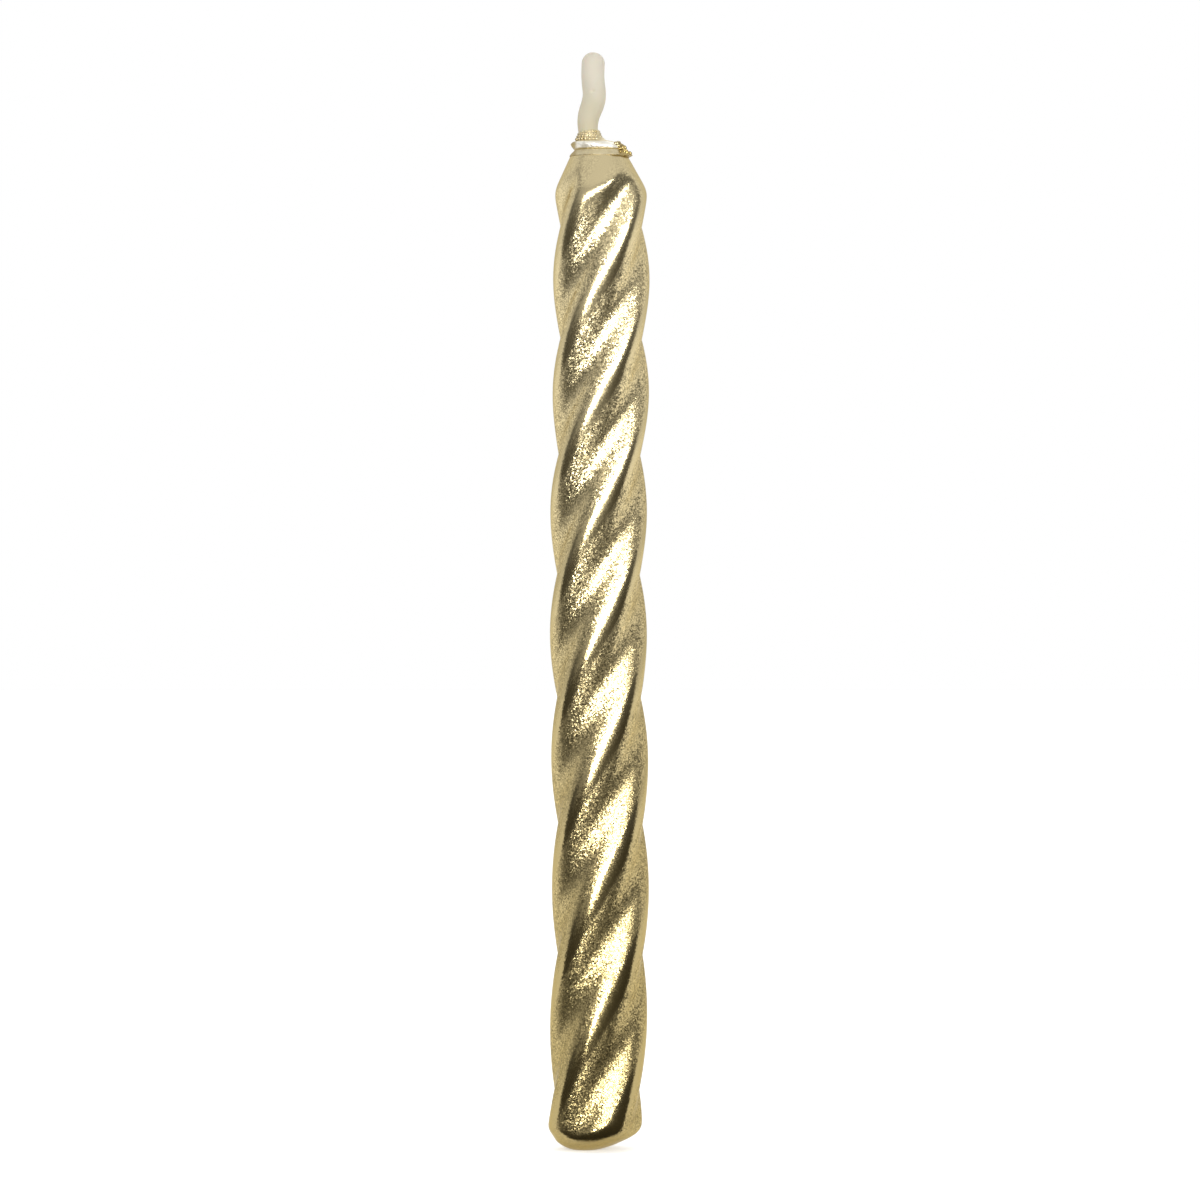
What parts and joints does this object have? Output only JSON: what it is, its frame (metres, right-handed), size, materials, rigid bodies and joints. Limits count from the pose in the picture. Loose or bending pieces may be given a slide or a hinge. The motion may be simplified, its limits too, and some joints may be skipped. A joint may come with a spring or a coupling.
{
  "type": "spiral birthday candle",
  "caption": "Slim birthday candle with a twisted, fluted metallic body, a domed foot, a conical shoulder and a short waxed wick.",
  "frame": {"origin": "centre of the flat land under the domed foot", "axes": "+Z along the candle's axis, from the foot to the wick; the wick leans along -X"},
  "size_m": [0.0056, 0.0056, 0.0635],
  "materials": {
    "gold_lacquer": "satin metallic gold lacquer on paraffin wax",
    "bead_lacquer": "glossy gathered gold lacquer",
    "wick_cotton": "plied cotton cord",
    "priming_wax": "smooth cream wax"
  },
  "bodies": {
    "root": {"wax_body": "gold_lacquer", "tip_bead": "bead_lacquer", "wick_cord": "wick_cotton", "wick_sleeve": "priming_wax"}
  },
  "joints": []
}
